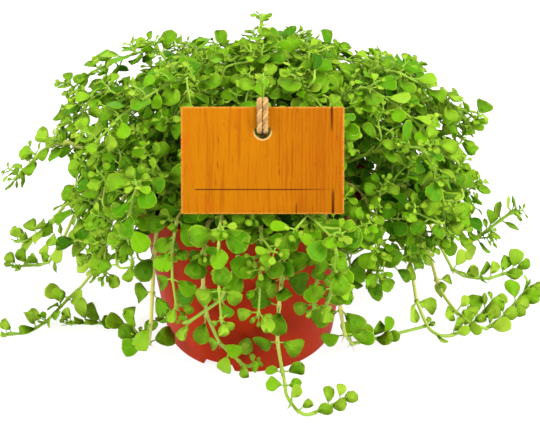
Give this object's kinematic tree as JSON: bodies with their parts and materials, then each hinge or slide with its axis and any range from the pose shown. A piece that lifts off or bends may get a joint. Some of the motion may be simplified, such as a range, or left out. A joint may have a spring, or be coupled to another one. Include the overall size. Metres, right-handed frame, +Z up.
{
  "type": "potted creeping pilea plant",
  "caption": "Creeping pilea in a small plastic nursery pot: a mound of round-leaved stems that trail over the rim, with a wooden name board on a loop of twine.",
  "frame": {"origin": "middle of the pot's underside, on the surface that the pot stands on", "axes": "+Z up along the pot's axis, -Y to the front, where the name board faces, +X to the right"},
  "size_m": [0.311, 0.2327, 0.1656],
  "materials": {
    "pot_plastic": "satin",
    "soil": "matte",
    "leaf_green": "satin",
    "board_wood": "satin",
    "twine": "matte"
  },
  "bodies": {
    "root": {"arch_01": "leaf_green", "arch_02": "leaf_green", "arch_03": "leaf_green", "arch_04": "leaf_green", "arch_05": "leaf_green", "arch_06": "leaf_green", "arch_07": "leaf_green", "arch_08": "leaf_green", "arch_09": "leaf_green", "arch_10": "leaf_green", "arch_11": "leaf_green", "arch_12": "leaf_green", "arch_13": "leaf_green", "arch_14": "leaf_green", "arch_15": "leaf_green", "arch_16": "leaf_green", "arch_17": "leaf_green", "arch_18": "leaf_green", "arch_19": "leaf_green", "arch_20": "leaf_green", "arch_21": "leaf_green", "arch_22": "leaf_green", "arch_23": "leaf_green", "arch_24": "leaf_green", "arch_25": "leaf_green", "arch_26": "leaf_green", "carrier_stem": "leaf_green", "name_board": "board_wood", "pot": "pot_plastic", "skirt_01": "leaf_green", "skirt_02": "leaf_green", "skirt_03": "leaf_green", "skirt_04": "leaf_green", "skirt_05": "leaf_green", "skirt_06": "leaf_green", "skirt_07": "leaf_green", "skirt_08": "leaf_green", "soil": "soil", "tall_sprig": "leaf_green", "trail_back_left": "leaf_green", "trail_back_right": "leaf_green", "trail_front": "leaf_green", "trail_front_left": "leaf_green", "trail_front_short": "leaf_green", "trail_left": "leaf_green", "trail_left_air": "leaf_green", "trail_left_back": "leaf_green", "trail_left_far": "leaf_green", "trail_left_low": "leaf_green", "trail_right": "leaf_green", "trail_right_air": "leaf_green", "trail_right_back": "leaf_green", "trail_right_far": "leaf_green", "trail_right_low": "leaf_green", "twine": "twine", "upright_1": "leaf_green", "upright_2": "leaf_green", "upright_3": "leaf_green", "upright_4": "leaf_green", "upright_5": "leaf_green"}
  },
  "joints": []
}
